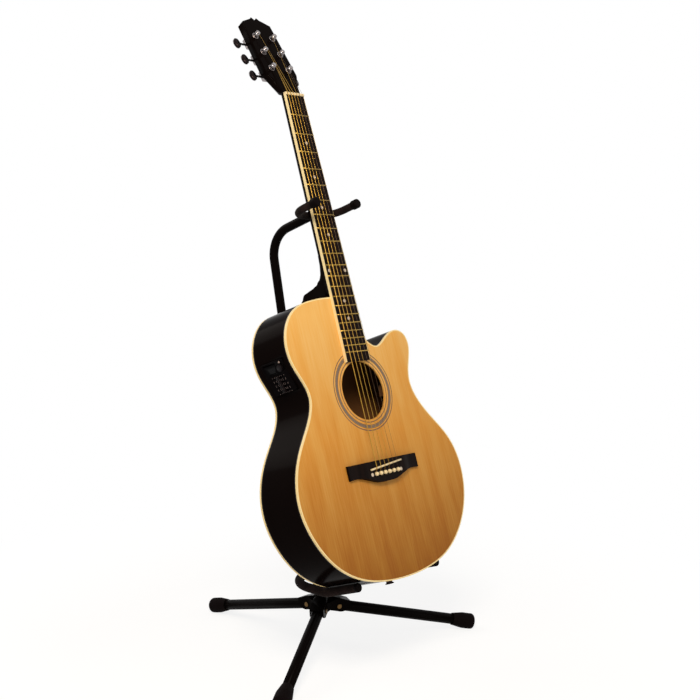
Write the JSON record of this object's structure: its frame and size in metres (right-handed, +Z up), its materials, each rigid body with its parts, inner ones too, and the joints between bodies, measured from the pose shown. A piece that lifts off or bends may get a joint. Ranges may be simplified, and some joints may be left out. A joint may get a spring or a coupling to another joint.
{
  "type": "guitar on stand",
  "caption": "Acoustic-electric cutaway guitar with bound spruce top and gloss black sides, held upright by a tubular tripod stand with foam cradle and neck yoke.",
  "frame": {"origin": "middle of the footprint, on the floor", "axes": "+Z up, -Y the way the soundboard faces, +X towards the treble side"},
  "size_m": [0.5104, 0.4862, 1.1048],
  "materials": {
    "spruce_top": "satin varnish",
    "rosette_inlay": "gloss",
    "black_gloss_wood": "gloss lacquer",
    "inner_wood": "raw",
    "cream_binding": "gloss",
    "ebony": "satin",
    "fret_metal": "polished",
    "pearl": "pearl",
    "cream_plastic": "gloss",
    "bronze_wire": "wound",
    "steel_wire": "plain",
    "chrome": "polished",
    "preamp_black": "satin",
    "control_grey": "satin",
    "black_paint": "gloss",
    "black_plastic": "satin",
    "foam": "matte foam",
    "foot_rubber": "matte"
  },
  "bodies": {
    "stand_base": {"hub": "black_paint", "leg_rivets": "chrome", "lower_tube": "black_paint", "height_collar": "black_plastic", "cradle_frame": "black_paint", "cradle_sleeves": "foam", "cradle_caps": "black_plastic"},
    "upright": {"gooseneck": "black_paint", "yoke_frame": "black_paint", "yoke_sleeve": "foam", "yoke_caps": "black_plastic"},
    "guitar": {"soundboard": "spruce_top", "rosette": "rosette_inlay", "back_plate": "black_gloss_wood", "rim": "black_gloss_wood", "body_binding": "cream_binding", "blocks_and_linings": "inner_wood", "braces": "inner_wood", "neck": "black_gloss_wood", "headstock_veneer": "black_gloss_wood", "truss_rod": "steel_wire", "fingerboard": "ebony", "fingerboard_binding": "cream_binding", "frets": "fret_metal", "pearl_dots": "pearl", "nut": "cream_plastic", "bridge": "ebony", "saddle": "cream_plastic", "bridge_pins": "cream_plastic", "wound_strings": "bronze_wire", "plain_strings": "steel_wire", "tuner_hardware": "chrome", "preamp_panel": "preamp_black", "preamp_case": "preamp_black", "end_pin_jack": "chrome"},
    "leg_front_left_body": {"leg_front_left": "black_paint", "foot_front_left": "foot_rubber"},
    "leg_front_right_body": {"leg_front_right": "black_paint", "foot_front_right": "foot_rubber"},
    "leg_rear_body": {"leg_rear": "black_paint", "foot_rear": "foot_rubber"},
    "clamp_knob_body": {"clamp_knob": "black_plastic"},
    "eq_slider_1_body": {"eq_slider_1": "control_grey"},
    "eq_slider_2_body": {"eq_slider_2": "control_grey"},
    "eq_slider_3_body": {"eq_slider_3": "control_grey"},
    "eq_slider_4_body": {"eq_slider_4": "control_grey"},
    "volume_knob_body": {"volume_knob": "control_grey"},
    "battery_door_body": {"battery_door": "preamp_black"},
    "tuner_button_1_body": {"tuner_button_1": "chrome"},
    "tuner_post_1_body": {"tuner_post_1": "chrome"},
    "tuner_button_2_body": {"tuner_button_2": "chrome"},
    "tuner_post_2_body": {"tuner_post_2": "chrome"},
    "tuner_button_3_body": {"tuner_button_3": "chrome"},
    "tuner_post_3_body": {"tuner_post_3": "chrome"},
    "tuner_button_4_body": {"tuner_button_4": "chrome"},
    "tuner_post_4_body": {"tuner_post_4": "chrome"},
    "tuner_button_5_body": {"tuner_button_5": "chrome"},
    "tuner_post_5_body": {"tuner_post_5": "chrome"},
    "tuner_button_6_body": {"tuner_button_6": "chrome"},
    "tuner_post_6_body": {"tuner_post_6": "chrome"}
  },
  "joints": [
    {"name": "leg_front_left_fold", "type": "hinge", "parent": "stand_base", "child": "leg_front_left_body", "pos_m": [-0.02654, -0.06121, 0.07127], "axis": [0.5225, -0.8526, 0], "range_deg": [0, 74]},
    {"name": "leg_front_right_fold", "type": "hinge", "parent": "stand_base", "child": "leg_front_right_body", "pos_m": [0.02021, -0.05999, 0.07127], "axis": [0.4772, 0.8788, 0], "range_deg": [0, 74]},
    {"name": "leg_rear_fold", "type": "hinge", "parent": "stand_base", "child": "leg_rear_body", "pos_m": [-0.00423, -0.02011, 0.07127], "axis": [-0.9997, -0.0262, 0], "range_deg": [0, 74]},
    {"name": "height_slide", "type": "slide", "parent": "stand_base", "child": "upright", "axis": [0, 0.1891, 0.982], "range_m": [-0.06, 0]},
    {"name": "clamp_turn", "type": "hinge", "parent": "stand_base", "child": "clamp_knob_body", "pos_m": [-0.00352, 0.02093, 0.4308], "axis": [0, 0.982, -0.1891], "range_deg": [0, 180]},
    {"name": "guitar_lift_off", "type": "slide", "parent": "stand_base", "child": "guitar", "axis": [0, -0.95, 0.3123], "range_m": [0, 0.25]},
    {"name": "eq_slider_1_slide", "type": "slide", "parent": "guitar", "child": "eq_slider_1_body", "axis": [0, -0.95, 0.3123], "range_m": [-0.008, 0.008]},
    {"name": "eq_slider_2_slide", "type": "slide", "parent": "guitar", "child": "eq_slider_2_body", "axis": [0, -0.95, 0.3123], "range_m": [-0.008, 0.008]},
    {"name": "eq_slider_3_slide", "type": "slide", "parent": "guitar", "child": "eq_slider_3_body", "axis": [0, -0.95, 0.3123], "range_m": [-0.008, 0.008]},
    {"name": "eq_slider_4_slide", "type": "slide", "parent": "guitar", "child": "eq_slider_4_body", "axis": [0, -0.95, 0.3123], "range_m": [-0.008, 0.008]},
    {"name": "volume_turn", "type": "hinge", "parent": "guitar", "child": "volume_knob_body", "pos_m": [-0.15188, -0.10306, 0.50751], "axis": [-0.9322, -0.113, -0.3438], "range_deg": [-135, 135]},
    {"name": "battery_door_hinge", "type": "hinge", "parent": "guitar", "child": "battery_door_body", "pos_m": [-0.15496, -0.07826, 0.5077], "axis": [0, 0.95, -0.3123], "range_deg": [0, 100]},
    {"name": "tuner_button_1_turn", "type": "hinge", "parent": "guitar", "child": "tuner_button_1_body", "pos_m": [-0.02352, 0.06364, 0.99239], "axis": [-1, 0, 0], "continuous": true},
    {"name": "tuner_post_1_turn", "type": "hinge", "parent": "guitar", "child": "tuner_post_1_body", "pos_m": [-0.02352, 0.04987, 1.00683], "axis": [0, -0.8271, 0.5621], "continuous": true},
    {"name": "tuner_button_2_turn", "type": "hinge", "parent": "guitar", "child": "tuner_button_2_body", "pos_m": [-0.02352, 0.08387, 1.02217], "axis": [-1, 0, 0], "continuous": true},
    {"name": "tuner_post_2_turn", "type": "hinge", "parent": "guitar", "child": "tuner_post_2_body", "pos_m": [-0.02352, 0.0701, 1.0366], "axis": [0, -0.8271, 0.5621], "continuous": true},
    {"name": "tuner_button_3_turn", "type": "hinge", "parent": "guitar", "child": "tuner_button_3_body", "pos_m": [-0.02352, 0.10411, 1.05194], "axis": [-1, 0, 0], "continuous": true},
    {"name": "tuner_post_3_turn", "type": "hinge", "parent": "guitar", "child": "tuner_post_3_body", "pos_m": [-0.02352, 0.09034, 1.06638], "axis": [0, -0.8271, 0.5621], "continuous": true},
    {"name": "tuner_button_4_turn", "type": "hinge", "parent": "guitar", "child": "tuner_button_4_body", "pos_m": [0.01648, 0.10411, 1.05194], "axis": [1, 0, 0], "continuous": true},
    {"name": "tuner_post_4_turn", "type": "hinge", "parent": "guitar", "child": "tuner_post_4_body", "pos_m": [0.01648, 0.09034, 1.06638], "axis": [0, -0.8271, 0.5621], "continuous": true},
    {"name": "tuner_button_5_turn", "type": "hinge", "parent": "guitar", "child": "tuner_button_5_body", "pos_m": [0.01648, 0.08387, 1.02217], "axis": [1, 0, 0], "continuous": true},
    {"name": "tuner_post_5_turn", "type": "hinge", "parent": "guitar", "child": "tuner_post_5_body", "pos_m": [0.01648, 0.0701, 1.0366], "axis": [0, -0.8271, 0.5621], "continuous": true},
    {"name": "tuner_button_6_turn", "type": "hinge", "parent": "guitar", "child": "tuner_button_6_body", "pos_m": [0.01648, 0.06364, 0.99239], "axis": [1, 0, 0], "continuous": true},
    {"name": "tuner_post_6_turn", "type": "hinge", "parent": "guitar", "child": "tuner_post_6_body", "pos_m": [0.01648, 0.04987, 1.00683], "axis": [0, -0.8271, 0.5621], "continuous": true}
  ],
  "couplings": [
    {"joint": "tuner_post_1_turn", "follows": "tuner_button_1_turn", "ratio": -0.071429},
    {"joint": "tuner_post_2_turn", "follows": "tuner_button_2_turn", "ratio": -0.071429},
    {"joint": "tuner_post_3_turn", "follows": "tuner_button_3_turn", "ratio": -0.071429},
    {"joint": "tuner_post_4_turn", "follows": "tuner_button_4_turn", "ratio": 0.071429},
    {"joint": "tuner_post_5_turn", "follows": "tuner_button_5_turn", "ratio": 0.071429},
    {"joint": "tuner_post_6_turn", "follows": "tuner_button_6_turn", "ratio": 0.071429}
  ]
}
